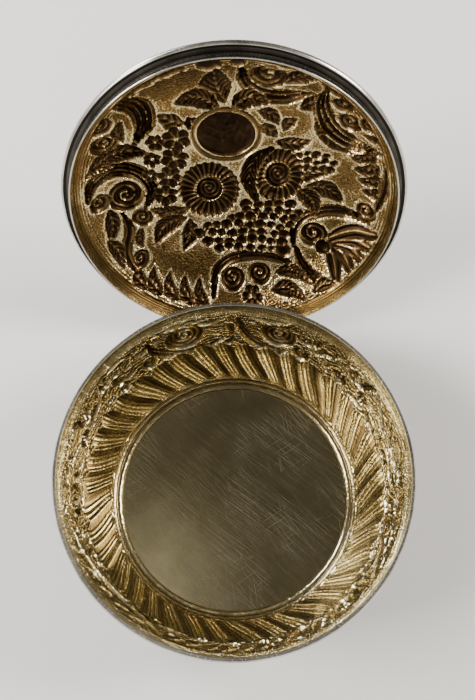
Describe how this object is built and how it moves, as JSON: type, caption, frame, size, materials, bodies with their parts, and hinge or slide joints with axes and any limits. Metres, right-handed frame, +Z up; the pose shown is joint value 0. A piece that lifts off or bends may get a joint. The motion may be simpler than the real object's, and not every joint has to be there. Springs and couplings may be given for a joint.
{
  "type": "stamp box",
  "caption": "Round silver stamp box with a gilt inside: a chased bowl-shaped base on a foot wire and a loose domed lid with a plug flange, leaning open behind it.",
  "frame": {"origin": "middle of the open box, base and lid together, on the surface they stand on; the base's centre is 21.02 mm in front of it", "axes": "+Z up out of the base, +Y back towards the lid, +X to the right as seen from the front"},
  "size_m": [0.082, 0.122, 0.0751],
  "materials": {
    "silver": "worn polished silver with dark tarnish in the hollows",
    "gilt": "silver gilt, worn and tarnished, bright on the raised lines"
  },
  "bodies": {
    "base": {"base_foot_wire": "silver", "base_floor_plate": "gilt", "base_chased_wall": "gilt", "base_collar": "gilt", "base_rim_wire": "silver"},
    "lid": {"lid_chased_dome": "gilt", "lid_flange": "silver", "lid_lip_wire": "silver"}
  },
  "joints": [
    {"name": "lid_swing", "type": "hinge", "parent": "base", "child": "lid", "pos_m": [0, 0.01086, 0.01642], "axis": [1, 0, 0], "range_deg": [0, 114]}
  ]
}
